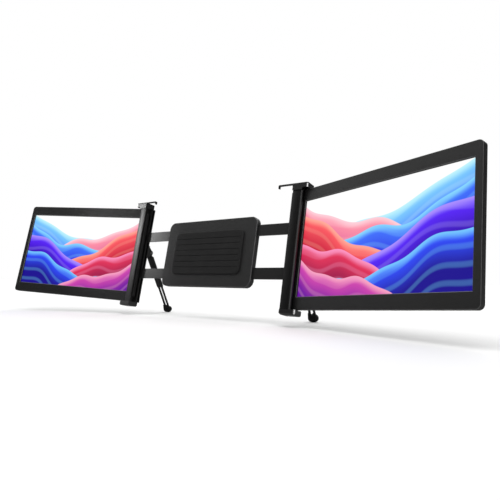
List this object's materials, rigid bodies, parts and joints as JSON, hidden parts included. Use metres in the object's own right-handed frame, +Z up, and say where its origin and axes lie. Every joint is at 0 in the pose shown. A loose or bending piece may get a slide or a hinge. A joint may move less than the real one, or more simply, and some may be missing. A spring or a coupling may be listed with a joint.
{
  "type": "portable monitor",
  "caption": "Clip-on portable monitor: wing screens on pivoting hinges, carried by columns on sprung telescoping arms that clamp a notebook lid, with folding rear legs.",
  "frame": {"origin": "centre of the front face of the pad that the notebook's lid rests on", "axes": "+X to the user's right along the arms, +Y away from the user, +Z up; the clamp leans back 11.1 degrees about X"},
  "size_m": [0.883, 0.1749, 0.2173],
  "materials": {
    "housing": "fine spark texture",
    "screw": "black oxide",
    "silicone": "matte silicone",
    "glide": "black acetal",
    "anchor": "moulded",
    "spring": "drawn wire",
    "arm": "black powder coat",
    "column": "dark anodised satin",
    "channel": "dark anodised satin",
    "cap": "dark grey satin",
    "hook": "black powder coat",
    "pin": "ground",
    "bracket": "black powder coat",
    "bezel": "fine matte texture",
    "cover": "fine spark texture",
    "display": "polariser film, lit picture",
    "backlight": "white frame",
    "board": "solder mask",
    "socket": "plated",
    "key": "satin",
    "sleeve": "moulded",
    "rod": "black",
    "foot": "moulded rubber"
  },
  "bodies": {
    "centre": {"housing_front": "housing", "housing_back": "housing", "housing_screws": "screw", "lid_pad": "silicone", "arm_liners": "glide", "spring_anchor": "anchor", "right_tension_spring": "spring", "left_tension_spring": "spring"},
    "right_arm": {"right_arm_yoke": "arm", "right_arm_screws": "screw", "right_column_front": "column", "right_column_channel": "channel", "right_top_cap": "cap", "right_hook": "hook", "right_bottom_cap": "cap", "right_cap_screws": "screw", "right_side_pad": "silicone", "right_pivot_pins": "pin", "right_leg_bracket": "bracket", "right_leg_pin": "pin"},
    "right_screen": {"right_bezel": "bezel", "right_rear_cover": "cover", "right_lcd_panel": "display", "right_backlight": "backlight", "right_driver_board": "board", "right_sockets": "socket", "right_hinge_bushes": "glide", "right_screen_screws": "screw"},
    "right_power": {"right_power_key": "key"},
    "right_plus": {"right_plus_key": "key"},
    "right_minus": {"right_minus_key": "key"},
    "right_leg": {"right_leg_sleeve": "sleeve"},
    "right_reach": {"right_leg_rods": "rod", "right_leg_foot": "foot"},
    "left_arm": {"left_arm_yoke": "arm", "left_arm_screws": "screw", "left_column_front": "column", "left_column_channel": "channel", "left_top_cap": "cap", "left_hook": "hook", "left_bottom_cap": "cap", "left_cap_screws": "screw", "left_side_pad": "silicone", "left_pivot_pins": "pin", "left_leg_bracket": "bracket", "left_leg_pin": "pin"},
    "left_screen": {"left_bezel": "bezel", "left_rear_cover": "cover", "left_lcd_panel": "display", "left_backlight": "backlight", "left_driver_board": "board", "left_sockets": "socket", "left_hinge_bushes": "glide", "left_screen_screws": "screw"},
    "left_power": {"left_power_key": "key"},
    "left_plus": {"left_plus_key": "key"},
    "left_minus": {"left_minus_key": "key"},
    "left_leg": {"left_leg_sleeve": "sleeve"},
    "left_reach": {"left_leg_rods": "rod", "left_leg_foot": "foot"}
  },
  "joints": [
    {"name": "right_arm_slide", "type": "slide", "parent": "centre", "child": "right_arm", "axis": [1, 0, 0], "range_m": [-0.008, 0.025], "stiffness_N_per_m": 180, "springref_m": -0.05, "deforming": ["right_tension_spring"]},
    {"name": "right_screen_swivel", "type": "hinge", "parent": "right_arm", "child": "right_screen", "pos_m": [0.18135, 0.0044, -0.00086], "axis": [0, -0.1925, -0.9813], "range_deg": [-107.2, 27.8]},
    {"name": "right_leg_fold", "type": "hinge", "parent": "right_arm", "child": "right_leg", "pos_m": [0.1646, 0.02077, 0.00408], "axis": [1, 0, 0], "range_deg": [-37.1, 6]},
    {"name": "right_leg_reach", "type": "slide", "parent": "right_leg", "child": "right_reach", "axis": [0, 0.4384, -0.8988], "range_m": [-0.03, 0.01]},
    {"name": "right_power_press", "type": "slide", "parent": "right_screen", "child": "right_power", "axis": [-0.9553, 0.2902, -0.0569], "range_m": [0, 0.0005], "stiffness_N_per_m": 600, "springref_m": -0.0004},
    {"name": "right_plus_press", "type": "slide", "parent": "right_screen", "child": "right_plus", "axis": [-0.9553, 0.2902, -0.0569], "range_m": [0, 0.0005], "stiffness_N_per_m": 600, "springref_m": -0.0004},
    {"name": "right_minus_press", "type": "slide", "parent": "right_screen", "child": "right_minus", "axis": [-0.9553, 0.2902, -0.0569], "range_m": [0, 0.0005], "stiffness_N_per_m": 600, "springref_m": -0.0004},
    {"name": "left_arm_slide", "type": "slide", "parent": "centre", "child": "left_arm", "axis": [-1, 0, 0], "range_m": [-0.008, 0.025], "stiffness_N_per_m": 180, "springref_m": -0.05, "deforming": ["left_tension_spring"]},
    {"name": "left_screen_swivel", "type": "hinge", "parent": "left_arm", "child": "left_screen", "pos_m": [-0.18135, 0.0044, -0.00086], "axis": [0, 0.1925, 0.9813], "range_deg": [-107.2, 27.8]},
    {"name": "left_leg_fold", "type": "hinge", "parent": "left_arm", "child": "left_leg", "pos_m": [-0.1646, 0.02077, 0.00408], "axis": [1, 0, 0], "range_deg": [-37.1, 6]},
    {"name": "left_leg_reach", "type": "slide", "parent": "left_leg", "child": "left_reach", "axis": [0, 0.4384, -0.8988], "range_m": [-0.03, 0.01]},
    {"name": "left_power_press", "type": "slide", "parent": "left_screen", "child": "left_power", "axis": [0.9553, 0.2902, -0.0569], "range_m": [0, 0.0005], "stiffness_N_per_m": 600, "springref_m": -0.0004},
    {"name": "left_plus_press", "type": "slide", "parent": "left_screen", "child": "left_plus", "axis": [0.9553, 0.2902, -0.0569], "range_m": [0, 0.0005], "stiffness_N_per_m": 600, "springref_m": -0.0004},
    {"name": "left_minus_press", "type": "slide", "parent": "left_screen", "child": "left_minus", "axis": [0.9553, 0.2902, -0.0569], "range_m": [0, 0.0005], "stiffness_N_per_m": 600, "springref_m": -0.0004}
  ]
}
